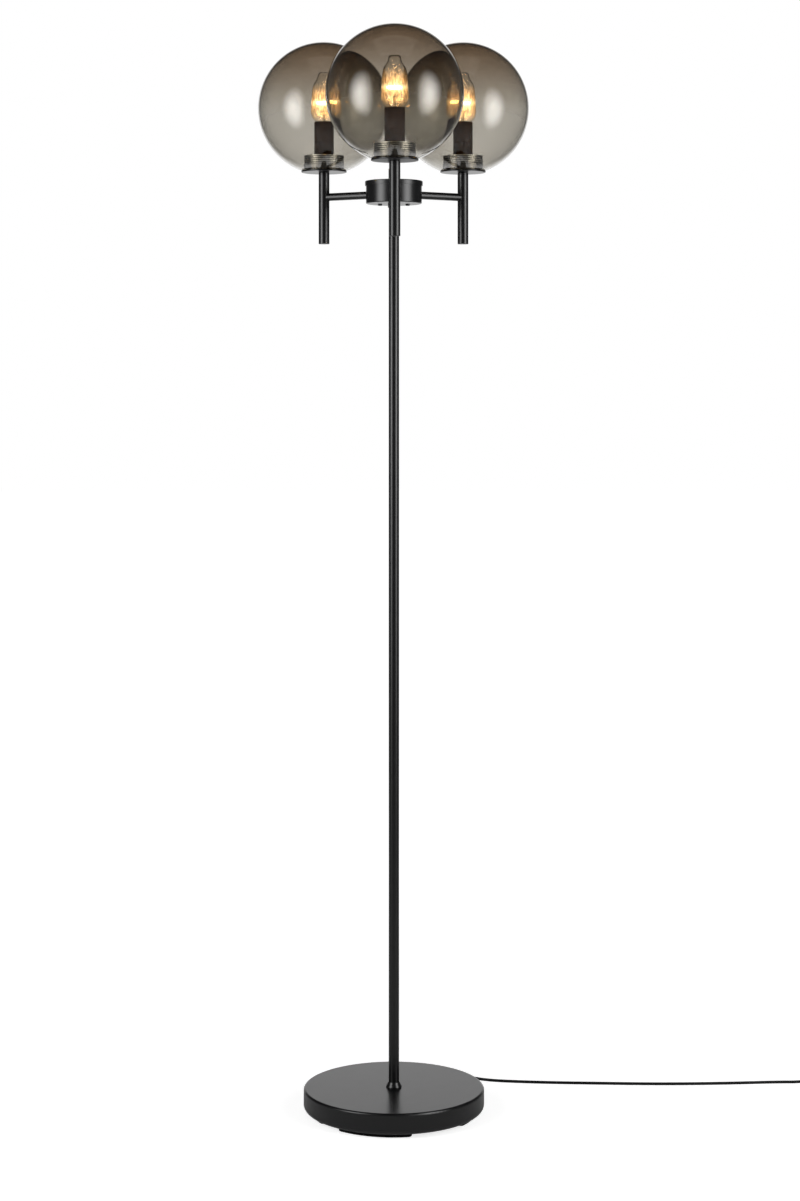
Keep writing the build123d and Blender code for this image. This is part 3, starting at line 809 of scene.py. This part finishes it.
# A white room with two tall soft panels, a low one behind, a top light and a pale floor.
studio = {
    "floorReach": 20,
    "floorColour": "#c8c8c8",
    "floorRoughness": 0.9,
    "floorLift": (0.78, 1.0),
    "floorSpread": (0.3, 1.6),
    "floorMirrored": 0.07,
    "panelSize": (1.5, 2.3),
    "panelDistance": 1.6,
    "panelAngle": 56,
    "panelHeight": 1.2,
    "panelStrength": 7.2,
    "panelCore": 0.05,
    "lowPanelSize": (2.6, 0.9),
    "lowPanelPlace": (0, 1.1, 0),
    "lowPanelStrength": 1.3,
    "topPower": 5,
    "topSize": 1.2,
    "topPlace": (0, -0.4, 2.8),
    "roomTone": (0.09, 0.04),
    "roomRise": 0.5,
    "backdropEdge": (0.86, 0.97),
}
white = toLinear("#ffffff")
black = toLinear("#000000")


def rectangle(name, wide, tall):
    mesh = bpy.data.meshes.new(name)
    x, y = wide / 2, tall / 2
    mesh.from_pydata([(-x, -y, 0), (x, -y, 0), (x, y, 0), (-x, y, 0)], [], [(0, 1, 2, 3)])
    return mesh


def straightLook(owner):
    # One for rays from the camera, also through glass, that no surface has mirrored.
    path = addNode(owner, "ShaderNodeLightPath")
    unmirrored = addNode(
        owner,
        "ShaderNodeMath",
        {0: path.outputs["Glossy Depth"], 1: 0.5},
        operation="LESS_THAN",
    )
    through = addNode(
        owner,
        "ShaderNodeMath",
        {0: path.outputs["Is Transmission Ray"], 1: unmirrored.outputs["Value"]},
        operation="MULTIPLY",
    )
    seen = addNode(
        owner,
        "ShaderNodeMath",
        {0: path.outputs["Is Camera Ray"], 1: through.outputs["Value"]},
        operation="MAXIMUM",
    )
    return seen.outputs["Value"]


def addFloor():
    # Pale and matt; its own lift keeps it white out to the horizon and leaves the lamp's shadow.
    material, shader = newMaterial("paleFloor")
    shader.inputs["Base Color"].default_value = toLinear(studio["floorColour"])
    shader.inputs["Roughness"].default_value = studio["floorRoughness"]
    shader.inputs["Specular IOR Level"].default_value = 0.0
    shader.inputs["Emission Color"].default_value = white
    place = addNode(material, "ShaderNodeTexCoord").outputs["Object"]
    away = addNode(material, "ShaderNodeVectorMath", {0: place}, operation="LENGTH")
    lift = addNode(
        material,
        "ShaderNodeMapRange",
        fromTo(away.outputs["Value"], *studio["floorSpread"], *studio["floorLift"]),
    )
    way = addNode(material, "ShaderNodeVectorMath", {0: place}, operation="NORMALIZE")
    split = addNode(material, "ShaderNodeSeparateXYZ", {"Vector": way.outputs["Vector"]})
    mirrored = addNode(
        material,
        "ShaderNodeMapRange",
        fromTo(split.outputs["Y"], *studio["backdropEdge"], studio["floorMirrored"], 1.0),
    )
    path = addNode(material, "ShaderNodeLightPath")
    reflected = addNode(
        material,
        "ShaderNodeMath",
        {0: path.outputs["Is Glossy Ray"], 1: mirrored.outputs["Result"]},
        operation="MULTIPLY",
    )
    seen = addNode(
        material,
        "ShaderNodeMath",
        {0: reflected.outputs["Value"], 1: straightLook(material)},
        operation="MAXIMUM",
    )
    both = addNode(
        material,
        "ShaderNodeMath",
        {0: lift.outputs["Result"], 1: seen.outputs["Value"]},
        operation="MULTIPLY",
    )
    joinTo(material, both.outputs["Value"], shader.inputs["Emission Strength"])
    size = studio["floorReach"] * 2
    newPiece("floor", rectangle("floor", size, size), material)


def panelMaterial(size, strength):
    # Diffusion cloth lit from behind: bright in the middle and fading in an oval to its edges.
    material, shader = newMaterial("diffusionCloth")
    shader.inputs["Base Color"].default_value = black
    shader.inputs["Specular IOR Level"].default_value = 0.0
    shader.inputs["Emission Color"].default_value = white
    shader.inputs["Emission Strength"].default_value = strength
    place = addNode(material, "ShaderNodeTexCoord")
    oval = addNode(
        material,
        "ShaderNodeMapping",
        {"Vector": place.outputs["Object"], "Scale": (2 / size[0], 2 / size[1], 1)},
    )
    off = addNode(material, "ShaderNodeVectorMath", {0: oval.outputs["Vector"]}, operation="LENGTH")
    fade = addNode(
        material,
        "ShaderNodeMapRange",
        fromTo(off.outputs["Value"], studio["panelCore"], 1.0, 1.0, 0.0),
        interpolation_type="SMOOTHSTEP",
    )
    unseen = addNode(
        material,
        "ShaderNodeMath",
        {0: 1.0, 1: straightLook(material)},
        operation="SUBTRACT",
    )
    cover = addNode(
        material,
        "ShaderNodeMath",
        {0: fade.outputs["Result"], 1: unseen.outputs["Value"]},
        operation="MULTIPLY",
    )
    joinTo(material, cover.outputs["Value"], shader.inputs["Alpha"])
    return material


def addPanel(name, place, size, strength):
    # A panel that faces the lamp's axis and is seen only in reflections and by what it lights.
    panel = newPiece(name, rectangle(name, *size), panelMaterial(size, strength))
    panel.location = place
    aim = Vector((-place[0], -place[1], 0))
    panel.rotation_euler = aim.to_track_quat("-Z", "Y").to_euler()
    panel.visible_camera = False
    panel.visible_shadow = False
    return panel


def addPanels():
    a = math.radians(studio["panelAngle"])
    for side in (-1, 1):
        across = side * math.sin(a) * studio["panelDistance"]
        ahead = -math.cos(a) * studio["panelDistance"]
        place = (across, ahead, studio["panelHeight"])
        addPanel("sidePanel", place, studio["panelSize"], studio["panelStrength"])
    # A low one behind, for the sheen on the base's top.
    low = addPanel(
        "lowPanel",
        studio["lowPanelPlace"],
        studio["lowPanelSize"],
        studio["lowPanelStrength"],
    )
    low.visible_diffuse = False
    low.visible_transmission = False


def addTopLight():
    data = bpy.data.lights.new("topLight", "AREA")
    data.size = studio["topSize"]
    data.energy = studio["topPower"]
    light = bpy.data.objects.new("topLight", data)
    light.location = studio["topPlace"]
    light.visible_glossy = False
    bpy.context.scene.collection.objects.link(light)


def addWorld():
    # A dim room, lighter near the floor, with a white backdrop behind. To a straight look all of it
    # is white.
    world = bpy.data.worlds.new("studio")
    bpy.context.scene.world = world
    world.use_nodes = True
    shader = world.node_tree.nodes["Background"]
    place = addNode(world, "ShaderNodeTexCoord")
    split = addNode(world, "ShaderNodeSeparateXYZ", {"Vector": place.outputs["Generated"]})
    room = addNode(
        world,
        "ShaderNodeMapRange",
        fromTo(split.outputs["Z"], 0.0, studio["roomRise"], *studio["roomTone"]),
        interpolation_type="SMOOTHSTEP",
    )
    backdrop = addNode(
        world,
        "ShaderNodeMapRange",
        fromTo(split.outputs["Y"], *studio["backdropEdge"]),
        interpolation_type="SMOOTHSTEP",
    )
    around = addNode(
        world,
        "ShaderNodeMath",
        {0: room.outputs["Result"], 1: backdrop.outputs["Result"]},
        operation="MAXIMUM",
    )
    brightest = addNode(
        world,
        "ShaderNodeMath",
        {0: around.outputs["Value"], 1: straightLook(world)},
        operation="MAXIMUM",
    )
    joinTo(world, brightest.outputs["Value"], shader.inputs["Strength"])
    shader.inputs["Color"].default_value = white


addFloor()
addPanels()
addTopLight()
addWorld()
bpy.context.scene.view_settings.view_transform = "Standard"
print("studio done")
